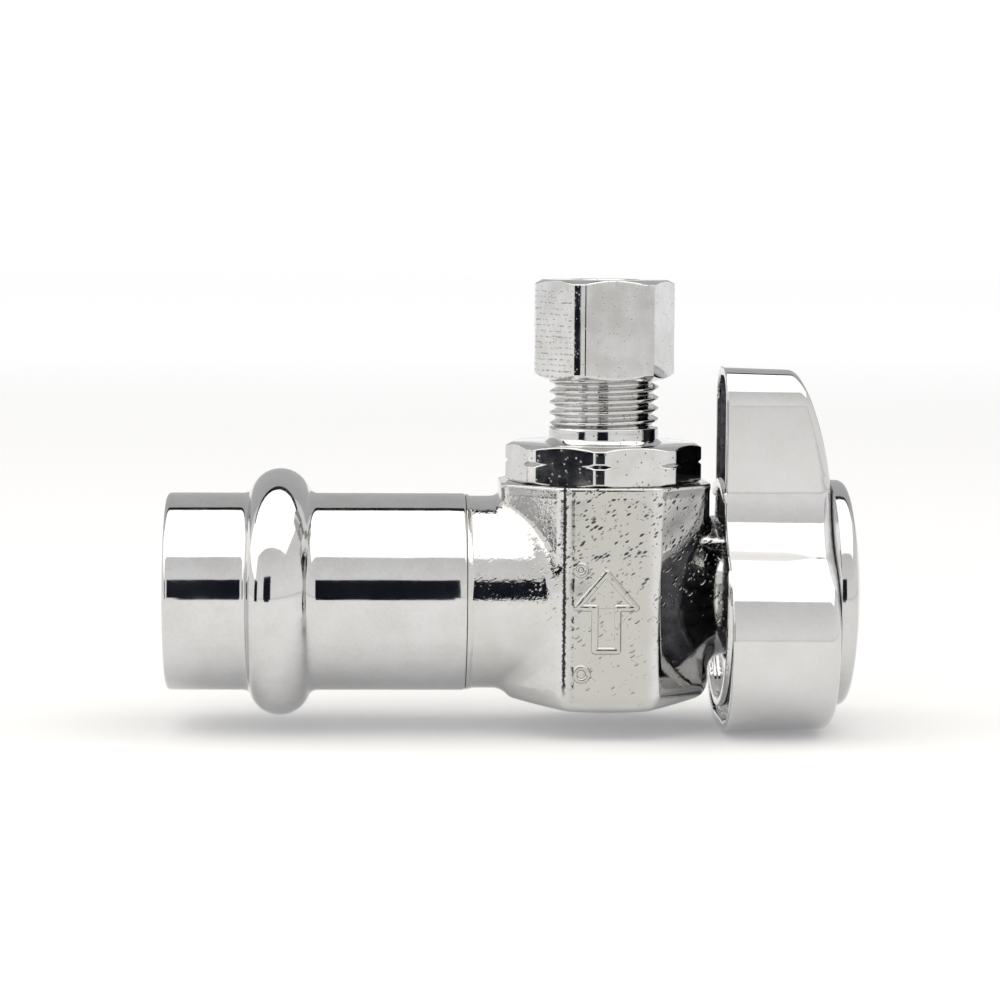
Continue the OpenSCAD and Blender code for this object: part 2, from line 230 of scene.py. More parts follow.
def mesh_field(field, lo, hi, h, detail=None, e=0.04):
    """Surface of field < 0 as quads, by surface nets on a grid of step h, with the vertices then moved
    onto the surface of detail (by default field itself). Returns verts, faces and normals."""
    lo, hi = np.array(lo, float), np.array(hi, float)
    block = 8
    count = (np.ceil((hi - lo) / h / block).astype(int)) * block + 1
    axes = [lo[k] + h * np.arange(count[k]) for k in range(3)]
    middles = [lo[k] + h * (np.arange(count[k] // block) * block + block / 2) for k in range(3)]
    m = np.stack(np.meshgrid(*middles, indexing="ij"), -1)
    away = field(m.reshape(-1, 3)).reshape(m.shape[:3])
    values = np.repeat(np.repeat(np.repeat(np.sign(away), block, 0), block, 1), block, 2)
    values = np.pad(values, ((0, 1), (0, 1), (0, 1)), mode="edge").astype(np.float32)
    near = np.argwhere(np.abs(away) < h * block * 0.87 * 1.3)
    local = np.arange(block + 1)
    for group in np.array_split(near, max(1, len(near) // 400)):
        ix = group[:, 0, None] * block + local
        iy = group[:, 1, None] * block + local
        iz = group[:, 2, None] * block + local
        gx = np.broadcast_to(ix[:, :, None, None], (len(group),) + (block + 1,) * 3)
        gy = np.broadcast_to(iy[:, None, :, None], gx.shape)
        gz = np.broadcast_to(iz[:, None, None, :], gx.shape)
        p = np.stack([axes[0][gx], axes[1][gy], axes[2][gz]], -1).reshape(-1, 3)
        values[gx, gy, gz] = field(p).reshape(gx.shape)
    inside = values < 0
    cells = np.array(values.shape) - 1
    total = np.zeros((3, int(np.prod(cells))))
    hits = np.zeros(int(np.prod(cells)))
    quads = []
    for k in range(3):
        a = [slice(None)] * 3
        b = [slice(None)] * 3
        a[k], b[k] = slice(0, -1), slice(1, None)
        cross = inside[tuple(a)] != inside[tuple(b)]
        idx = np.argwhere(cross)
        fa = values[tuple(a)][cross]
        fb = values[tuple(b)][cross]
        t = fa / (fa - fb)
        pos = idx.astype(float)
        pos[:, k] += t
        u, v = (k + 1) % 3, (k + 2) % 3
        ok = (idx[:, u] > 0) & (idx[:, u] < cells[u]) & (idx[:, v] > 0) & (idx[:, v] < cells[v])
        ids = []
        for du, dv in ((-1, -1), (0, -1), (0, 0), (-1, 0)):
            cell = idx.copy()
            cell[:, u] += du
            cell[:, v] += dv
            good = (cell >= 0).all(1) & (cell < cells).all(1)
            flat = np.ravel_multi_index(np.clip(cell, 0, cells - 1).T, cells)
            np.add.at(hits, flat[good], 1)
            for j in range(3):
                np.add.at(total[j], flat[good], pos[good, j])
            ids.append(flat)
        quad = np.stack(ids, 1)[ok]
        flip = inside[tuple(a)][cross][ok]
        quad[~flip] = quad[~flip][:, ::-1]
        quads.append(quad)
    quads = np.concatenate(quads)
    used = np.flatnonzero(hits)
    renumber = np.full(len(hits), -1)
    renumber[used] = np.arange(len(used))
    verts = (total[:, used] / hits[used]).T * h + lo
    faces = renumber[quads]
    detail = detail or field
    start = verts.copy()
    for _ in range(3):
        g = gradient(detail, verts, e)
        size = np.maximum((g * g).sum(1), 0.2)
        step = -(detail(verts) / size)[:, None] * g
        length = np.linalg.norm(step, axis=1, keepdims=True)
        verts = verts + step * np.minimum(1, 0.5 * h / np.maximum(length, 1e-9))
        drift = verts - start
        length = np.linalg.norm(drift, axis=1, keepdims=True)
        verts = start + drift * np.minimum(1, 0.9 * h / np.maximum(length, 1e-9))
    g = gradient(detail, verts, e)
    normals = g / np.maximum(np.linalg.norm(g, axis=1, keepdims=True), 1e-9)
    return verts, faces, normals


# ---------------------------------------------------------------- materials

def material(name, color, roughness, metallic=1.0, **extra):
    mat = bpy.data.materials.new(name)
    mat.use_nodes = True
    nt = mat.node_tree
    bsdf = nt.nodes["Principled BSDF"]
    bsdf.inputs["Base Color"].default_value = (*color, 1)
    bsdf.inputs["Roughness"].default_value = roughness
    bsdf.inputs["Metallic"].default_value = metallic
    for key, value in extra.items():
        bsdf.inputs[key.replace("_", " ")].default_value = value
    return mat, nt, bsdf


def coords(nt, scale=(1.0, 1.0, 1.0), rotation=(0.0, 0.0, 0.0)):
    """Object coordinates in millimetres, stretched."""
    tc = nt.nodes.new("ShaderNodeTexCoord")
    mp = nt.nodes.new("ShaderNodeMapping")
    mp.inputs["Scale"].default_value = [1000 * s for s in scale]
    mp.inputs["Rotation"].default_value = rotation
    nt.links.new(tc.outputs["Object"], mp.inputs["Vector"])
    return mp.outputs["Vector"]


def noise_node(nt, vector, scale, detail=2.0, rough=0.5):
    n = nt.nodes.new("ShaderNodeTexNoise")
    n.inputs["Scale"].default_value = scale
    n.inputs["Detail"].default_value = detail
    n.inputs["Roughness"].default_value = rough
    nt.links.new(vector, n.inputs["Vector"])
    return n.outputs["Fac"]


def voronoi_node(nt, vector, scale):
    n = nt.nodes.new("ShaderNodeTexVoronoi")
    n.inputs["Scale"].default_value = scale
    nt.links.new(vector, n.inputs["Vector"])
    return n.outputs["Distance"]


def remap(nt, value, lo, hi, to_lo, to_hi):
    n = nt.nodes.new("ShaderNodeMapRange")
    n.inputs["From Min"].default_value = lo
    n.inputs["From Max"].default_value = hi
    n.inputs["To Min"].default_value = to_lo
    n.inputs["To Max"].default_value = to_hi
    nt.links.new(value, n.inputs["Value"])
    return n.outputs["Result"]


def mix_colors(nt, fac, a, b):
    n = nt.nodes.new("ShaderNodeMix")
    n.data_type = "RGBA"
    n.inputs[6].default_value = (*a, 1)
    n.inputs[7].default_value = (*b, 1)
    nt.links.new(fac, n.inputs[0])
    return n.outputs[2]


def grime_and_shade(nt, fac, base, dark=(0.10, 0.095, 0.09)):
    """The base colour mixed towards dark where fac is 1: real grime and wear at some calls, painted shade at
    others.
    """
    n = nt.nodes.new("ShaderNodeMix")
    n.data_type = "RGBA"
    n.inputs[7].default_value = (*dark, 1)
    nt.links.new(fac, n.inputs[0])
    nt.links.new(base, n.inputs[6])
    return n.outputs[2]


def math_node(nt, op, a, b=None):
    n = nt.nodes.new("ShaderNodeMath")
    n.operation = op
    for i, x in enumerate((a, b)):
        if x is None:
            continue
        if isinstance(x, (int, float)):
            n.inputs[i].default_value = x
        else:
            nt.links.new(x, n.inputs[i])
    return n.outputs[0]


def bump(nt, height, strength, distance_mm, normal=None):
    n = nt.nodes.new("ShaderNodeBump")
    n.inputs["Strength"].default_value = strength
    n.inputs["Distance"].default_value = distance_mm * MM
    nt.links.new(height, n.inputs["Height"])
    if normal is not None:
        nt.links.new(normal, n.inputs["Normal"])
    return n.outputs["Normal"]


def chrome(name, tone=0.65, rough=(0.03, 0.09), grain=0.35, wave=0.002, streak=None, dirt=0.10):
    """Bright chrome: faint waviness, cloudy roughness, hairline marks and a slightly warm or cool tone."""
    mat, nt, bsdf = material(name, (tone, tone, tone * 1.01), rough[0])
    plain = coords(nt)
    cloud = noise_node(nt, plain, 0.28, 4.0, 0.6)
    fine = noise_node(nt, plain, 3.0, 3.0, 0.6)
    mixed = math_node(nt, "ADD", math_node(nt, "MULTIPLY", cloud, 0.65),
                      math_node(nt, "MULTIPLY", fine, 0.35))
    nt.links.new(remap(nt, mixed, 0.35, 0.65, rough[0], rough[1]), bsdf.inputs["Roughness"])
    low = tuple(tone * (1 - dirt) * k for k in (1.0, 0.99, 0.975))
    high = tuple(tone * k for k in (1.0, 1.0, 1.015))
    nt.links.new(mix_colors(nt, remap(nt, mixed, 0.36, 0.60, 0, 1), low, high), bsdf.inputs["Base Color"])
    swell = bump(nt, noise_node(nt, plain, 0.22, 2.0, 0.5), 1.0, wave * 10)
    peel = bump(nt, noise_node(nt, plain, grain, 3.0, 0.55), 1.0, wave, swell)
    last = peel
    if streak:
        lines = noise_node(nt, coords(nt, streak[0]), 1.0, 4.0, 0.7)
        last = bump(nt, lines, 1.0, streak[1], peel)
    nt.links.new(last, bsdf.inputs["Normal"])
    return mat


def cut_chrome(name, tone, rough, pin_scale, marks=0.0):
    """Chrome over bar stock: pin holes, fine lengthwise lines and, if marks is set, rows of tool marks
    of that depth on the left-hand faces."""
    mat, nt, bsdf = material(name, (tone, tone, tone), rough[0])
    plain = coords(nt)
    cloud = noise_node(nt, plain, 0.4, 4.0, 0.6)
    nt.links.new(remap(nt, cloud, 0.35, 0.65, rough[0], rough[1]), bsdf.inputs["Roughness"])
    base = mix_colors(nt, remap(nt, cloud, 0.38, 0.62, 0, 1), tuple(tone * k for k in (0.88, 0.87, 0.85)),
                      (tone, tone, tone * 1.01))
    pins = remap(nt, voronoi_node(nt, plain, pin_scale), 0.08, 0.19, 1, 0)
    pins = math_node(nt, "MULTIPLY", pins, remap(nt, noise_node(nt, plain, 0.9, 2.0, 0.5), 0.42, 0.50, 0, 1))
    lines = noise_node(nt, coords(nt, (3.5, 3.5, 0.12)), 1.0, 3.0, 0.6)
    n = bump(nt, lines, 1.0, 0.0022)
    n = bump(nt, math_node(nt, "SUBTRACT", 1.0, pins), 1.0, 0.020, n)
    worn = pins
    if marks:
        split = nt.nodes.new("ShaderNodeSeparateXYZ")
        nt.links.new(plain, split.inputs[0])
        sway = math_node(nt, "MULTIPLY", noise_node(nt, plain, 0.5, 2.0, 0.5), 5.0)
        turns = math_node(nt, "MULTIPLY", split.outputs[2], 2 * math.pi / ROW_STEP)
        level = math_node(nt, "ADD", turns, sway)
        rows = remap(nt, math_node(nt, "SINE", level), 0.35, 0.85, 0, 1)
        dashes = noise_node(nt, coords(nt, (2.4, 2.4, 1.6)), 1.0, 3.0, 0.7)
        rows = math_node(nt, "MULTIPLY", rows, remap(nt, dashes, 0.47, 0.58, 0, 1))
        left = remap(nt, split.outputs[0], OUTLET_X - 3.2, OUTLET_X - 3.6, 0, 1)
        rows = math_node(nt, "MULTIPLY", rows, left)
        rows = math_node(nt, "MULTIPLY", rows, remap(nt, split.outputs[2], 30.4, 30.2, 0, 1))
        worn = math_node(nt, "MAXIMUM", pins, math_node(nt, "MULTIPLY", rows, 0.6))
        n = bump(nt, math_node(nt, "SUBTRACT", 1.0, rows), 1.0, marks, n)
    nt.links.new(grime_and_shade(nt, worn, base), bsdf.inputs["Base Color"])
    nt.links.new(n, bsdf.inputs["Normal"])
    return mat


def forged(name, tone=0.64):
    """Chrome over a blasted forging: fine grain, and dents in patches, mostly on the upper half, with
    painted shade on the front flat and along the left front crease.
    """
    mat, nt, bsdf = material(name, (tone, tone, tone), 0.08)
    plain = coords(nt)
    cloud = noise_node(nt, plain, 0.35, 4.0, 0.6)
    nt.links.new(remap(nt, cloud, 0.35, 0.65, 0.04, 0.12), bsdf.inputs["Roughness"])
    base = mix_colors(nt, remap(nt, cloud, 0.4, 0.62, 0, 1), (tone * 0.93, tone * 0.92, tone * 0.90),
                      (tone, tone, tone))
    split = nt.nodes.new("ShaderNodeSeparateXYZ")
    nt.links.new(plain, split.inputs[0])
    # painted shade: the front flat (y below -10) is mixed towards grey, darker than the rest of the body,
    # standing in for the darker reflection it shows
    base = grime_and_shade(nt, remap(nt, split.outputs[1], -10.0, -10.2, 0, 0.7), base, (0.47, 0.465, 0.435))
    # dents: short slanted dashes and smaller dots
    slant = coords(nt, (1.0, 1.0, 1.0), (0.0, math.radians(35), 0.0))
    stretch = nt.nodes.new("ShaderNodeMapping")
    stretch.inputs["Scale"].default_value = (0.5, 0.4, 1.25)
    nt.links.new(slant, stretch.inputs["Vector"])
    dashes = remap(nt, voronoi_node(nt, stretch.outputs["Vector"], 1.45), 0.16, 0.26, 1, 0)
    dots = remap(nt, voronoi_node(nt, coords(nt, (1.0, 0.5, 1.0)), 2.4), 0.09, 0.21, 0.9, 0)
    more = remap(nt, voronoi_node(nt, stretch.outputs["Vector"], 2.3), 0.20, 0.31, 1, 0)
    more = math_node(nt, "MULTIPLY", more, remap(nt, split.outputs[2], 2.5, 5.5, 0, 1))
    more = math_node(nt, "MULTIPLY", more, remap(nt, noise_node(nt, plain, 0.6, 2.0, 0.5), 0.42, 0.50, 0, 1))
    dashes = math_node(nt, "MAXIMUM", dashes, more)
    high = remap(nt, split.outputs[2], -2.5, 3.0, 0.12, 1)
    where = remap(nt, noise_node(nt, plain, 0.9, 2.0, 0.5), 0.42, 0.50, 0, 1)
    where = math_node(nt, "MULTIPLY", where, remap(nt, split.outputs[0], 35.5, 38.0, 0.10, 1))
    dents = math_node(nt, "MULTIPLY", math_node(nt, "MAXIMUM", dashes, dots),
                      math_node(nt, "MULTIPLY", high, where))
    # the forging's left front edge: painted shade, a dark line along the crease and a broken second line
    # beside it
    ragged = math_node(nt, "SUBTRACT", noise_node(nt, plain, 3.0, 3.0, 0.7), 0.5)
    across = math_node(nt, "ADD", split.outputs[0], math_node(nt, "MULTIPLY", ragged, 0.5))

    def away(x):
        return math_node(nt, "ABSOLUTE", math_node(nt, "SUBTRACT", across, x))

    crease_shade = remap(nt, away(CREASE_X), 0.10, 0.20, 1, 0)
    second = remap(nt, away(CREASE_X + 0.85), 0.04, 0.16, 1, 0)
    broken = remap(nt, noise_node(nt, plain, 1.7, 2.0, 0.6), 0.50, 0.58, 0, 1)
    second = math_node(nt, "MULTIPLY", second, broken)
    crease_shade = math_node(nt, "MULTIPLY", math_node(nt, "MAXIMUM", crease_shade, second),
                       math_node(nt, "MULTIPLY", remap(nt, split.outputs[1], -9.3, -9.5, 0, 1),
                                 remap(nt, split.outputs[2], -9.4, -8.0, 0, 1)))
    # the dents are real marks; the crease lines are painted shade
    dents_and_crease_shade = math_node(nt, "MAXIMUM", math_node(nt, "MULTIPLY", dents, 0.95), crease_shade)
    nt.links.new(grime_and_shade(nt, dents_and_crease_shade, base, (0.03, 0.03, 0.035)), bsdf.inputs["Base Color"])
    grain = noise_node(nt, plain, 2.6, 2.0, 0.55)
    front = remap(nt, split.outputs[1], -10.2, -9.7, 0.10, 1)
    front = math_node(nt, "MULTIPLY", front, remap(nt, split.outputs[0], 34.0, 37.0, 0.55, 1))
    front = math_node(nt, "MULTIPLY", front, remap(nt, split.outputs[0], 46.0, 47.5, 1, 0.25))
    grain = math_node(nt, "MULTIPLY", grain, front)
    n = bump(nt, grain, 1.0, 0.020)
    n = bump(nt, math_node(nt, "SUBTRACT", 1.0, dents), 1.0, 0.055, n)
    nt.links.new(n, bsdf.inputs["Normal"])
    return mat


def cast(name, tones, rough, height):
    """Rough, thinly plated metal: cloudy tone, grainy roughness and a fine grain."""
    mat, nt, bsdf = material(name, tones[0], rough[1])
    plain = coords(nt)
    cloud = noise_node(nt, plain, 0.5, 4.0, 0.6)
    grain = noise_node(nt, plain, 2.6, 4.0, 0.7)
    nt.links.new(remap(nt, grain, 0.35, 0.65, rough[0], rough[1]), bsdf.inputs["Roughness"])
    nt.links.new(mix_colors(nt, remap(nt, cloud, 0.38, 0.62, 0, 1), *tones), bsdf.inputs["Base Color"])
    nt.links.new(bump(nt, grain, 1.0, height), bsdf.inputs["Normal"])
    return mat


def brass(name, color):
    mat, nt, bsdf = material(name, color, 0.22)
    lines = noise_node(nt, coords(nt, (6.0, 0.4, 0.4)), 1.0, 4.0, 0.7)
    cloud = noise_node(nt, coords(nt), 0.5, 4.0, 0.6)
    nt.links.new(remap(nt, cloud, 0.3, 0.7, 0.16, 0.34), bsdf.inputs["Roughness"])
    nt.links.new(mix_colors(nt, remap(nt, cloud, 0.35, 0.65, 0, 1), tuple(c * 0.78 for c in color), color),
                 bsdf.inputs["Base Color"])
    nt.links.new(bump(nt, lines, 0.6, 0.004), bsdf.inputs["Normal"])
    return mat


def rubber(name):
    mat, nt, bsdf = material(name, (0.018, 0.018, 0.019), 0.42, 0.0, Specular_IOR_Level=0.4)
    fine = noise_node(nt, coords(nt), 6.0, 4.0, 0.7)
    nt.links.new(remap(nt, fine, 0.3, 0.7, 0.34, 0.55), bsdf.inputs["Roughness"])
    nt.links.new(mix_colors(nt, fine, (0.013, 0.013, 0.014), (0.026, 0.025, 0.025)),
                 bsdf.inputs["Base Color"])
    nt.links.new(bump(nt, fine, 0.5, 0.006), bsdf.inputs["Normal"])
    return mat


def ptfe(name):
    mat, nt, bsdf = material(name, (0.85, 0.85, 0.82), 0.42, 0.0, Subsurface_Weight=0.15)
    bsdf.inputs["Subsurface Radius"].default_value = (0.001, 0.001, 0.001)
    cloud = noise_node(nt, coords(nt), 0.8, 4.0, 0.6)
    nt.links.new(remap(nt, cloud, 0.3, 0.7, 0.35, 0.5), bsdf.inputs["Roughness"])
    nt.links.new(mix_colors(nt, cloud, (0.80, 0.80, 0.76), (0.88, 0.88, 0.86)), bsdf.inputs["Base Color"])
    nt.links.new(bump(nt, cloud, 0.4, 0.01), bsdf.inputs["Normal"])
    return mat


def zinc(name):
    mat, nt, bsdf = material(name, (0.52, 0.53, 0.55), 0.28)
    cloud = noise_node(nt, coords(nt), 1.2, 4.0, 0.65)
    nt.links.new(remap(nt, cloud, 0.3, 0.7, 0.2, 0.42), bsdf.inputs["Roughness"])
    nt.links.new(mix_colors(nt, cloud, (0.44, 0.45, 0.48), (0.58, 0.58, 0.57)), bsdf.inputs["Base Color"])
    nt.links.new(bump(nt, noise_node(nt, coords(nt), 4.0, 3.0, 0.6), 0.5, 0.005), bsdf.inputs["Normal"])
    return mat


FORGED = forged("forged_chrome")
TUBE = chrome("tube_chrome", streak=((3.0, 0.25, 0.25), 0.0006))
BORE = cast("bore_plating", ((0.60, 0.575, 0.54), (0.74, 0.72, 0.69)), (0.26, 0.42), 0.012)
ADAPTER = cut_chrome("adapter_chrome", 0.65, (0.04, 0.10), 1.8)
NUT = cut_chrome("nut_chrome", 0.69, (0.04, 0.10), 2.6, 0.016)
HANDLE = chrome("handle_chrome", tone=0.65, rough=(0.03, 0.08), wave=0.0015, dirt=0.05)
HOLLOW = cast("handle_hollow", ((0.10, 0.10, 0.115), (0.30, 0.30, 0.32)), (0.22, 0.50), 0.05)
CAP = chrome("cap_chrome", tone=0.61, rough=(0.04, 0.10), wave=0.001, dirt=0.08)
CAP_BACK = cast("cap_back", ((0.62, 0.62, 0.63), (0.76, 0.76, 0.77)), (0.28, 0.45), 0.012)
BALL = chrome("ball_chrome", tone=0.68, rough=(0.03, 0.06), wave=0.0005, dirt=0.03)
STEM = brass("stem_brass", (0.80, 0.58, 0.27))
SLEEVE = brass("sleeve_brass", (0.85, 0.65, 0.32))
PTFE = ptfe("seat_ptfe")
RUBBER = rubber("seal_rubber")
STEEL = zinc("screw_steel")


# ---------------------------------------------------------------- press socket

def socket_profile():
    """Wall of the socket as (radius, x), the outside first and then back along the bore."""
    r, bore, spigot = TUBE_R, BORE_R, SPIGOT_R + 0.02
    bead_x, bead_c, bead_s = BEAD_X, 9.18, 3.15
    groove_c, groove_s = GROOVE_C, GROOVE_S
    root = 0.9                                       # concave foot of the bead

    # the foot's circle touches the tube and the bead
    foot_c = r + root
    span = math.sqrt((bead_s + root) ** 2 - (foot_c - bead_c) ** 2)
    a = math.degrees(math.atan2(foot_c - bead_c, span))
    out = list(soften([[bore + 0.2, 0.0], [r - 0.02, 0.0], [r, 2.0]], [0, 0.5, 0], 6, closed=False)[1:-1])
    out += [[r, x] for x in (2.0, 5.0, bead_x - span - 0.1)]
    for k in range(9):                               # up the left foot
        t = math.radians(-90 + (90 - a) * k / 8)
        out.append([foot_c + root * math.sin(t), bead_x - span + root * math.cos(t)])
    for k in range(1, 32):                           # over the bead
        t = math.radians(a + (180 - 2 * a) * k / 32)
        out.append([bead_c + bead_s * math.sin(t), bead_x - bead_s * math.cos(t)])
    for k in range(9):
        t = math.radians(-a - (90 - a) * k / 8)
        out.append([foot_c + root * math.sin(t), bead_x + span - root * math.cos(t)])
    out += [[r, x] for x in (bead_x + span + 0.1, 19.0, 22.0, 25.0, 28.0, 29.45)]
    out += [[r - 0.03, 29.6], [r - 0.1, 29.68], [r - 0.2, BODY_START], [spigot, BODY_START], [spigot, 20.0],
            [bore, 20.0]]
    out += [[bore, x] for x in (17.0, 14.0)]
    t0 = math.acos((bore - groove_c) / groove_s)
    for k in range(17):                              # round the seal's groove
        t = t0 - 2 * t0 * k / 16
        out.append([groove_c + groove_s * math.cos(t), bead_x + groove_s * math.sin(t)])
    out += [[bore, 9.0], [bore, 6.0], [bore, 3.0], [bore, 0.9], [bore + 0.03, 0.6], [bore + 0.2, 0.1]]
    return np.array(out)


def skewed(verts, faces):
    """Leans the crest of the bead a little towards the mouth on the front side, as rolled."""
    r = np.hypot(verts[:, 1], verts[:, 2])
    front = np.clip(-verts[:, 1] / np.maximum(r, 1), 0, 1) ** 2
    rise = np.clip((r - TUBE_R) / 2.46, 0, 1)
    verts[:, 0] -= 1.15 * front * rise
    return verts, faces


def second_finish(obj, mat, faces):
    """Gives some of an object's faces another material."""
    obj.data.materials.append(mat)
    obj.data.polygons.foreach_set("material_index", faces.astype(int))


v, f = skewed(*turn_x(socket_profile(), 256))
tube = place(turned("press_socket_tube", (v, f), 32), "valve", "tube_chrome", TUBE, "press_socket")
middle = v[f].mean(1)
radius = np.hypot(middle[:, 1], middle[:, 2])
in_groove = np.hypot(radius - GROOVE_C, middle[:, 0] - BEAD_X) < GROOVE_S + 0.15
second_finish(tube, BORE, (radius < BORE_R + 0.15) | (in_groove & (radius < 11.0)))
place(turned("press_seal", turn_x(circle_profile(9.36, BEAD_X, 1.29, 36), 160)),
      "valve", "seal_rubber", RUBBER, "press_seal_ring")


# ---------------------------------------------------------------- forged body

def body_outer(p):
    x, y, z = p[:, 0] - OUTLET_X, p[:, 1], p[:, 2]
    flat = np.abs(y) - 10.22
    corner = (np.abs(x) + np.abs(y)) / math.sqrt(2) - 10.40
    side = np.abs(x) - 10.40
    block = smooth_max(smooth_max(flat, corner, 0.7), side, 0.8) - 0.11 * np.clip((z - 10.3) / 0.6, 0, 1)
    block = smooth_max(block, -10.98 - z + 0.0085 * x * x, 1.8)
    block = smooth_max(block, z - 11.28, 0.25)
    r = np.hypot(y, z)
    neck = np.maximum(np.maximum(r - 9.66, p[:, 0] - OUTLET_X), BODY_START - p[:, 0])
    shape = smooth_min(block, neck, 0.9)
    boss = smooth_max(r - 6.25, p[:, 0] - 57.78, 0.35)
    shape = smooth_min(shape, np.maximum(boss, OUTLET_X - p[:, 0]), 1.9)
    angle = np.abs(np.arctan2(y, z))
    lug = smooth_max(r - 7.75, p[:, 0] - 56.9, 0.4)
    lug = smooth_max(lug, (angle - math.radians(44.0)) * np.maximum(r, 1), 0.15)
    lug = np.maximum(lug, OUTLET_X + 9 - p[:, 0])
    return smooth_min(shape, lug, 0.3)


def segment(x, z, ax, az, bx, bz):
    """Distance from a straight stroke."""
    t = np.clip(((x - ax) * (bx - ax) + (z - az) * (bz - az)) / ((bx - ax) ** 2 + (bz - az) ** 2), 0, 1)
    return np.hypot(x - ax - t * (bx - ax), z - az - t * (bz - az))


WAVES = noise_table(11)


def body_inner(p):
    x, r = p[:, 0], np.hypot(p[:, 1], p[:, 2])
    d = np.hypot(p[:, 0] - OUTLET_X, p[:, 1])
    z = p[:, 2]
    cut = np.maximum(r - 6.4, x - 33)
    cut = np.minimum(cut, np.maximum(r - 4.6, x - OUTLET_X))
    cut = np.minimum(cut, np.maximum(d - 6.2, -7 - z))
    cut = np.minimum(cut, np.maximum(d - 7.4, 5.9 - z))
    cut = np.minimum(cut, np.maximum(d - 8.5, 10.1 - z))
    cut = np.minimum(cut, np.maximum(r - 3.5, OUTLET_X - x))
    return np.minimum(cut, np.maximum(np.maximum(r - 4.35, OUTLET_X - x), x - 51))


def body_spigot(p):
    return np.maximum(np.maximum(np.hypot(p[:, 1], p[:, 2]) - SPIGOT_R, 20 - p[:, 0]), p[:, 0] - 30.5)


def body_field(p):
    return np.maximum(np.minimum(body_outer(p), body_spigot(p)), -body_inner(p))


def body_detail(p):
    rough = 0.010 * noise(p, 4.2, WAVES) + 0.003 * noise(p + 7.3, 1.3, WAVES)
    machined = np.clip((11.05 - p[:, 2]) / 0.3, 0, 1) * np.clip((57.0 - p[:, 0]) / 0.5, 0, 1)
    skin = body_outer(p) - rough * machined + 0.02
    return np.maximum(np.minimum(skin, body_spigot(p)), -body_inner(p))


v, f, n = mesh_field(body_field, (19.2, -11.2, -11.8), (58.6, 11.2, 12.0), 0.25, body_detail)
place(add_mesh("forged_body", v, f, n), "valve", "forged_chrome", FORGED, "valve_body")


def braze_line():
    """Fillet of filler metal where the socket tube is joined to the body, a little uneven round the seam."""
    t = np.linspace(0, 2 * math.pi, 360, endpoint=False)
    ring = np.stack([8 * np.cos(t), 8 * np.sin(t), 0 * t], 1)
    wide, high = 0.10 * noise(ring, 1.9, WAVES), 0.03 * noise(ring + 9.1, 0.8, WAVES)
    rows = []
    # radius, x, and how much of the unevenness each takes
    section = [[9.45, 29.72, 0, 0], [9.76, 29.72, 0, 0.5], [9.83, 29.76, 0.2, 1], [9.815, 29.86, 0.6, 1],
               [9.75, 30.02, 1, 0.7], [9.69, 30.22, 1, 0.3], [9.60, 30.34, 1, 0], [9.45, 30.34, 0, 0]]
    for r, x, w, h in section:
        radius = r + h * high
        rows.append(np.stack([x + w * wide, radius * np.cos(t), radius * np.sin(t)], 1))
    return ring_grid(rows)


place(turned("braze_fillet", braze_line(), 50), "valve", "forged_chrome", FORGED)


def flow_mark():
    """Raised outline of a flow arrow, and two rings, on a fine grid let into the front flat."""
    x, z = np.meshgrid(np.arange(-3.4, 3.55, 0.05), np.arange(-7.2, 5.6, 0.05), indexing="ij")
    xa = np.abs(x)
    half_line = 0.36
    line = np.minimum(segment(xa, z, 1.1, -3.6, 1.1, 0.6), segment(xa, z, 1.1, 0.6, 2.9, 0.6))
    line = np.minimum(line, segment(xa, z, 2.9, 0.6, 0.0, 4.0))
    line = np.minimum(line, segment(xa, z, 0.0, -3.6, 1.1, -3.6))
    upper_ring = np.abs(np.hypot(x + 2.5, z - 4.3) - 0.5)
    lower_ring = np.abs(np.hypot(x + 2.4, z + 5.9) - 0.65)
    d = np.minimum(line, np.minimum(upper_ring, lower_ring) + 0.08)
    inside = np.minimum(np.clip((1.1 - xa) / 0.2, 0, 1), np.clip((z + 3.6) / 0.2, 0, 1) * (z < 0.6))
    head = np.clip((3.3 - 0.82 * z - xa) / 0.2, 0, 1) * np.clip((z - 0.6) / 0.2, 0, 1)
    grain = 0.012 * noise(np.stack([x.ravel(), z.ravel(), 0 * x.ravel()], 1), 0.45, WAVES).reshape(x.shape)
    height = 0.045 + 0.24 * np.sqrt(np.clip(1 - (d / half_line) ** 2, 0, 1)) + grain
    height = np.maximum(height * (d < half_line), 0.10 * np.maximum(inside, head))
    border = (x < -3.35) | (x > 3.45) | (z < -7.15) | (z > 5.5)
    verts = np.stack([OUTLET_X - 0.3 + x, -10.16 - height * ~border, z - 1.0], -1).reshape(-1, 3)
    n, m = x.shape
    i = (np.arange(n - 1)[:, None] * m + np.arange(m - 1)).ravel()
    return verts, np.stack([i, i + m, i + m + 1, i + 1], 1)


v, f = flow_mark()
place(add_mesh("flow_mark", v, f, sharp=75), "valve", "forged_chrome", FORGED)


# ---------------------------------------------------------------- outlet adapter

def polygon_radius(angle, sides, apothem, turned_r):
    """Distance from the middle to the edge of a polygon whose corners are turned off at a radius."""
    half = math.pi / sides
    d = np.abs((angle + half) % (2 * half) - half)
    flat = apothem / np.cos(d)
    h = np.clip(0.5 + 0.5 * (flat - turned_r) / 0.05, 0, 1)
    return flat + (turned_r - flat) * h - 0.05 * h * (1 - h)


def polygon_angles(sides, turn, plain=2.5):
    """Angles round a polygon, close together at its corners."""
    half = 180.0 / sides
    near = np.arange(0.0, 7.01, 0.4)
    middle = np.arange(8.5, half - 0.8, plain)
    side = np.concatenate([near, middle])
    one = np.concatenate([side, [half], (2 * half - side[1:])[::-1]])
    return np.radians(np.concatenate([one + turn + 2 * half * k for k in range(sides)]))


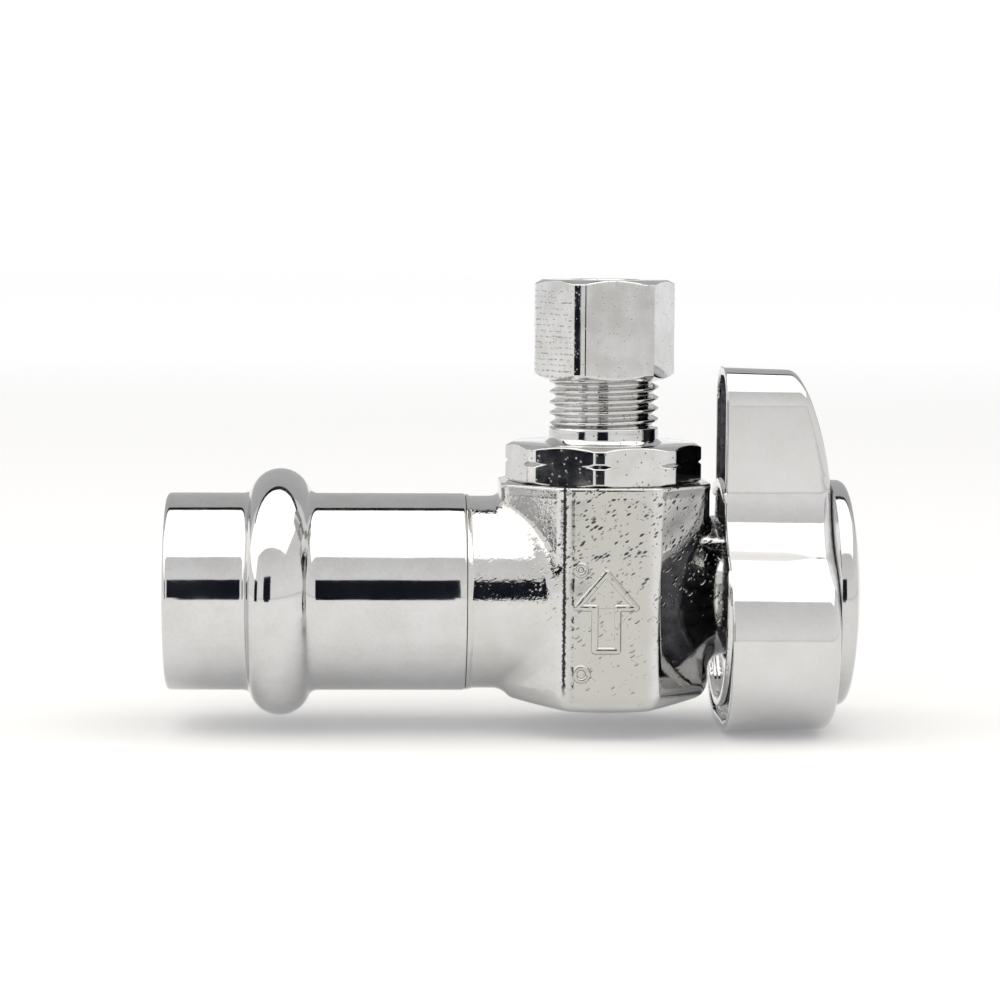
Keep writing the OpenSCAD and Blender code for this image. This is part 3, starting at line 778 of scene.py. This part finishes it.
def soft_less(a, b, k):
    """Smaller of two radii, with the crossing rounded over k."""
    h = np.clip(0.5 + 0.5 * (b - a) / k, 0, 1)
    return b + (a - b) * h - k * h * (1 - h)


def rings_z(angles, radii, heights):
    return np.stack([OUTLET_X + radii * np.cos(angles), radii * np.sin(angles),
                     np.broadcast_to(heights, radii.shape)], -1)


def thread_radius(angle, z, crest, depth, z0, z1):
    """Radius of a helical thread, fading in and out at its ends."""
    phase = (z / PITCH - angle / (2 * math.pi)) % 1.0
    d = np.abs(phase - 0.5) * 2                      # 0 in the middle of the crest, 1 at the root
    form = np.clip((d - 0.16) / 0.68, 0, 1)
    form = form * form * (3 - 2 * form) * 0.35 + form * 0.65
    fade = np.clip((z - z0) / 0.5, 0, 1) * np.clip((z1 - z) / 0.5, 0, 1)
    return crest - depth * (1 - (1 - form) * fade)


def adapter_rows():
    top, low = 15.1, 11.3
    corner_angle = -96.0
    angles = polygon_angles(8, corner_angle)
    facet = angles - math.radians(corner_angle + 22.5)
    octagon = polygon_radius(facet, 8, 9.25, 9.79)
    full = np.ones_like(angles)
    rows = []

    def ring(r, z):
        rows.append(rings_z(angles, r * full if np.ndim(r) == 0 else r, z))

    for r, z in soften([[6.9, 6.9], [7.25, 6.9], [7.3, 7.3]], [0, 0.15, 0], 3, closed=False):
        ring(r, z)
    for z in np.arange(7.35, 9.95, 0.053):           # hidden thread into the body
        ring(thread_radius(angles, z, 7.3, 0.5, 7.3, 10.0), z)
    for r, z in ([6.9, 10.1], [6.9, 10.6], [6.9, low], [8.4, low]):
        ring(r, z)
    ring(9.15, low)
    heights = np.unique(np.round(np.concatenate([
        np.arange(low + 0.01, low + 0.5, 0.035), np.arange(low + 0.5, top - 1.0, 0.05),
        np.arange(top - 1.0, top - 0.005, 0.035)]), 4))
    for z in heights:
        foot = 9.50 + (z - low) * 1.6
        head = 9.12 + (top - z) * 1.75
        groove = 9.54 + abs(z - (low + 1.95)) * 1.0
        ring(soft_less(soft_less(octagon, full * min(head, foot), 0.10), full * groove, 0.03), z)
    for r, z in soften([[9.05, top], [5.85, top], [5.5, top + 0.35]], [0, 0.1, 0], 3, closed=False):
        ring(r, z)
    for r, z in ([5.47, top + 0.5], [5.46, top + 1.2], [5.46, top + 1.45], [5.38, top + 1.55]):
        ring(r, z)
    for z in np.arange(top + 1.6, 24.2, 0.04):
        ring(thread_radius(angles, z, 5.47, 0.62, top + 1.4, 24.4), z)
    for r, z in ([4.85, 24.25], [4.78, 24.42], [4.68, 24.5], [4.5, 24.5], [4.4, 24.44], [3.55, 23.52],
                 [3.26, 23.4], [3.225, 23.2], [3.225, 21.0], [3.225, 18.6], [3.2, 18.5], [2.45, 18.5],
                 [2.4, 18.4], [2.4, 14.0], [2.4, 9.0], [2.4, 7.0], [2.5, 6.9], [4.5, 6.9]):
        ring(r, z)
    return rows


place(turned("outlet_adapter_piece", ring_grid(adapter_rows()), 50),
      "valve", "adapter_chrome", ADAPTER, "outlet_adapter")
place(turned("adapter_seal", turn_z(circle_profile(7.68, 10.7, 0.56, 24), 96)),
      "valve", "seal_rubber", RUBBER, "adapter_seal_ring")


# ---------------------------------------------------------------- compression nut and sleeve

def nut_rows():
    low, high = 21.4, 31.3
    turn = 5.2
    angles = polygon_angles(6, turn)
    facet = angles - math.radians(turn + 30)
    hexagon = polygon_radius(facet, 6, 6.35, 7.0)
    full = np.ones_like(angles)
    rows = []

    def ring(r, z):
        rows.append(rings_z(angles, r * full if np.ndim(r) == 0 else r, z))

    ring(5.9, low)
    for z in np.concatenate([np.arange(low + 0.015, low + 0.95, 0.03),
                             [low + 1.2, 24, 26.4, 28.8, high - 1.2],
                             np.arange(high - 0.95, high - 0.01, 0.03)]):
        chamfer = min(6.05 + (z - low) * 1.75, 6.22 + (high - z) * 1.85)
        ring(soft_less(hexagon, full * chamfer, 0.12), z)
    for r, z in soften([[6.1, high], [3.3, high], [3.3, 30.0]], [0, 0.25, 0], 5, closed=False):
        ring(r, z)
    for r, z in ([3.3, 29.5], [3.35, 29.28], [3.6, 29.15], [4.9, 27.1], [5.1, 27.0], [5.5, 26.95]):
        ring(r, z)
    for z in np.arange(26.9, low + 0.35, -0.06):
        ring(thread_radius(angles, z, 5.98, 0.42, low + 0.3, 27.2), z)
    for r, z in ([5.62, low + 0.3], [5.78, low + 0.05], [5.84, low + 0.01]):
        ring(r, z)
    return rows


place(turned("nut_piece", ring_grid(nut_rows()), 50), "nut", "nut_chrome", NUT, "compression_nut")
sleeve = soften([[3.22, 24.75], [3.5, 24.75], [4.1, 25.8], [4.1, 27.65], [3.5, 29.05], [3.22, 29.05]],
                [0.05, 0.12, 0.25, 0.25, 0.12, 0.05], 4)
place(turned("sleeve_ring", turn_z(sleeve, 120)), "sleeve", "sleeve_brass", SLEEVE, "compression_sleeve")


# ---------------------------------------------------------------- handle

def handle_front(p):
    """Distance in front of the handle's front surface, which leans back up the lever."""
    x, z = p[:, 0], p[:, 2]
    return np.where(z < 8, x - 66.0, np.hypot(x - 35.0, z - 8.0) - 31.0)


def handle_outline(p):
    """Distance outside the outline: a wide round lobe, a narrow lever and the fillets between them."""
    y, z = np.abs(p[:, 1]), p[:, 2]
    lobe = np.hypot(np.maximum(y - 3.6, 0), z + 3.8) - 9.7
    qy, qz = y - (5.0 - 3.7), np.abs(z - 9.825) - (12.825 - 3.7)
    lever = np.hypot(np.maximum(qy, 0), np.maximum(qz, 0)) + np.minimum(np.maximum(qy, qz), 0) - 3.7
    fillet_y, fillet_z, fillet_r = 12.0, 10.63, 7.0
    turn = np.arctan2(fillet_z - z, fillet_y - y)
    fillet = fillet_r - np.hypot(fillet_z - z, fillet_y - y)
    end = math.atan2(fillet_z + 3.8, fillet_y - 3.6)
    outline = np.where((turn > 0) & (turn < end), fillet, np.minimum(lobe, lever))
    return outline + np.clip(p[:, 0] - 55.3, -1, 12) * 0.030


def handle_field(p):
    x = p[:, 0]
    r = np.hypot(p[:, 1], p[:, 2])
    outline, front = handle_outline(p), handle_front(p)
    round_r = 1.15 - 0.5 * np.clip((p[:, 2] - 12) / 8, 0, 1)
    outer = smooth_max(outline, front, round_r)
    shell = smooth_max(outer, 55.3 - x, 0.18)
    wall = np.abs(r - 11.05) - 0.45
    ring = smooth_max(smooth_max(np.maximum(outer, wall), 55.0 - x, 0.12), wall, 0.12)
    solid = np.minimum(shell, ring)
    hollow = smooth_max(outline + 0.85, front + 0.9, 0.8)
    gap = np.maximum(hollow, 11.5 - r)
    # the gap is shallow at its lower end; the division keeps the field no steeper than a distance
    gap = np.maximum(gap, (x - 56.3 - 9.0 * np.clip((p[:, 2] + 8.5) / 3.0, 0, 1)) / 3.2)
    well = np.maximum(np.maximum(hollow, r - 10.6), x - 60.6)
    hub = smooth_max(r - 4.4, 58.6 - x, 0.2)
    angle = np.arctan2(p[:, 1], p[:, 2]) % (2 * math.pi)
    arc = (np.abs(angle - math.radians(135)) - math.radians(89.5)) * np.maximum(r, 1)
    rib = np.maximum(smooth_max(6.65 - r, 55.8 - x, 0.2), arc)
    well = np.maximum(well, -np.minimum(hub, rib))
    recess = np.maximum(r - 7.2, 62.2 - x)
    drive = np.maximum(r - 3.05, np.abs(p[:, 2]) - 2.25)
    return np.maximum(solid, -np.minimum(np.minimum(gap, well), np.minimum(recess, drive)))


v, f, n = mesh_field(handle_field, (54.4, -14.0, -14.2), (67.0, 14.0, 23.4), 0.2)
handle = place(add_mesh("lever_handle", v, f, n), "handle_set", "handle_chrome", HANDLE, "handle")
middle = v[f].mean(1)
second_finish(handle, HOLLOW, (handle_outline(middle) < -0.5) & (handle_front(middle) < -0.5)
              & (middle[:, 0] > 55.7 + 2 * np.clip((-6 - middle[:, 2]) / 4, 0, 1)))


def cap_profile():
    apex, dome_r, rim_r, cap_r = 69.1, 44.2, 0.9, 11.35
    dome_x = apex - dome_r
    a = math.asin((cap_r - rim_r) / (dome_r - rim_r))
    rim_x = dome_x + (dome_r - rim_r) * math.cos(a)
    out = [[dome_r * math.sin(a * k / 24), dome_x + dome_r * math.cos(a * k / 24)] for k in range(25)]
    for k in range(1, 9):
        t = a + (math.pi / 2 - a) * k / 8
        out.append([cap_r - rim_r + rim_r * math.sin(t), rim_x + rim_r * math.cos(t)])
    out[0][0] = 0.02
    out += [[cap_r, 66.3], [cap_r - 0.06, 66.1], [cap_r - 0.2, 66.01], [7.2, 66.0], [7.1, 65.9], [7.1, 64.0],
            [7.1, 63.2], [6.95, 63.02], [6.45, 63.02], [6.3, 63.2], [6.3, 64.8], [6.3, 66.6], [6.1, 66.8],
            [0.02, 66.8]]
    return np.array(out)


v, f = turn_x(cap_profile(), 192, closed_rows=False, caps=True)
cap = place(turned("handle_cap_disc", (v, f), 35), "handle_set", "cap_chrome", CAP, "handle_cap")
middle = v[f[:, :3]].mean(1)
second_finish(cap, CAP_BACK, (middle[:, 0] < 66.85) & (np.hypot(middle[:, 1], middle[:, 2]) < 11.1))


# ---------------------------------------------------------------- pieces kept from the CAD

KEPT = {
    "upper_ball_seat": PTFE, "lower_ball_seat": PTFE, "stem_thrust_washer": PTFE,
    "ball": BALL, "stem": STEM, "inner_stem_o_ring": RUBBER, "outer_stem_o_ring": RUBBER,
    "screw_lock_washer": STEEL, "handle_screw": STEEL,
}
for name, mat in KEPT.items():
    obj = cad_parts[name]
    obj.data.materials.clear()
    obj.data.materials.append(mat)


# ---------------------------------------------------------------- stage, light and camera

def emitter(name, strength, tint=(1.0, 1.0, 1.0)):
    mat = bpy.data.materials.new(name)
    mat.use_nodes = True
    nt = mat.node_tree
    nt.nodes.clear()
    out = nt.nodes.new("ShaderNodeOutputMaterial")
    em = nt.nodes.new("ShaderNodeEmission")
    em.inputs["Color"].default_value = (*tint, 1)
    em.inputs["Strength"].default_value = strength
    nt.links.new(em.outputs[0], out.inputs[0])
    return mat


def card(name, corners, mat, seen=False, lights=True):
    mesh = bpy.data.meshes.new(name)
    mesh.from_pydata([Vector(c) * MM for c in corners], [], [(0, 1, 2, 3)])
    obj = bpy.data.objects.new(name, mesh)
    mesh.materials.append(mat)
    bpy.context.scene.collection.objects.link(obj)
    obj.visible_camera = seen
    obj.visible_diffuse = obj.visible_shadow = lights
    return obj


FLOOR_Z = -13.7
WARM = (1.0, 0.985, 0.955)
floor_mat, nt, bsdf = material("floor_paper", (0.70, 0.692, 0.675), 0.85, 0.0)
split = nt.nodes.new("ShaderNodeSeparateXYZ")
nt.links.new(coords(nt), split.inputs[0])
nt.links.new(remap(nt, split.outputs[1], 30, 900, 0.19, 0.47), bsdf.inputs["Emission Strength"])
bsdf.inputs["Emission Color"].default_value = (0.965, 0.985, 1.035, 1)


def lying(x0, x1, y0, y1, z):
    """Corners of a card lying flat."""
    return [(x0, y0, z), (x1, y0, z), (x1, y1, z), (x0, y1, z)]


def standing(ax, ay, bx, by, z0, z1):
    """Corners of a card standing on the line from a to b."""
    return [(ax, ay, z0), (bx, by, z0), (bx, by, z1), (ax, ay, z1)]


card("floor", lying(-4000, 4000, -4000, 6000, FLOOR_Z), floor_mat, True)
# overhead softbox, and the black edge strip behind it
H = 420.0
FRONT = -H / math.tan(math.radians(46))
REAR, EDGE = H * math.tan(math.radians(24)), H * math.tan(math.radians(30))
card("softbox", lying(-1400, 600, FRONT, REAR, H), emitter("softbox_light", 1.9, WARM))
card("softbox_edge", lying(-1400, 600, REAR, EDGE, H), emitter("edge_strip", 0.02))
# white card far to the left
card("left_card", standing(-560, -500, -560, 250, 170, 520), emitter("left_light", 1.7, WARM))
# the dark lens side of the room, and a dark stand at the left front
dark = emitter("dark_card", 1.0, (0.010, 0.012, 0.018))
card("lens_side", standing(-30, -243, 69, -243, -5, 85), dark, lights=False)
card("lens_foot", standing(-15, -243, 51, -243, -13.6, -5), dark, lights=False)
card("dark_stand", standing(-179, -139, -135, -192, -13.6, 60), dark, lights=False)
# a white paper horizon behind, and the greyer wall above it
card("horizon", standing(-4000, 3000, 4000, 3000, FLOOR_Z, 262), emitter("horizon_light", 1.05), True)
card("back_wall", standing(-4000, 3000, 4000, 3000, 262, 5200), emitter("back_light", 0.55))

world = bpy.data.worlds.new("studio")
bpy.context.scene.world = world
world.use_nodes = True
nt = world.node_tree
direction, split = nt.nodes.new("ShaderNodeTexCoord"), nt.nodes.new("ShaderNodeSeparateXYZ")
nt.links.new(direction.outputs["Generated"], split.inputs[0])
nt.links.new(remap(nt, split.outputs[2], 0.12, 0.70, 1.0, 0.80), nt.nodes["Background"].inputs["Strength"])
nt.nodes["Background"].inputs["Color"].default_value = (1.0, 0.99, 0.975, 1)

bpy.context.scene.view_settings.view_transform = "Standard"
bpy.context.scene.view_settings.look = "None"


def add_camera():
    a, e, r = (math.radians(v) for v in (-2.374, 5.059, 0.395))
    back = Vector((math.sin(a) * math.cos(e), -math.cos(a) * math.cos(e), math.sin(e)))
    right = Vector((math.cos(a), math.sin(a), 0.0))
    up = back.cross(right)
    right, up = right * math.cos(r) + up * math.sin(r), up * math.cos(r) - right * math.sin(r)
    data = bpy.data.cameras.new("camera")
    data.sensor_width = 36.0
    data.lens = 116.61
    data.clip_start, data.clip_end = 0.01, 20.0
    cam = bpy.data.objects.new("camera", data)
    eye = Vector((33.194, 0.0, 9.214)) * MM + back * 0.32392
    cam.matrix_world = Matrix((
        (right.x, up.x, back.x, eye.x), (right.y, up.y, back.y, eye.y),
        (right.z, up.z, back.z, eye.z), (0, 0, 0, 1)))
    bpy.context.scene.collection.objects.link(cam)
    bpy.context.scene.camera = cam


add_camera()

bpy.context.view_layer.update()
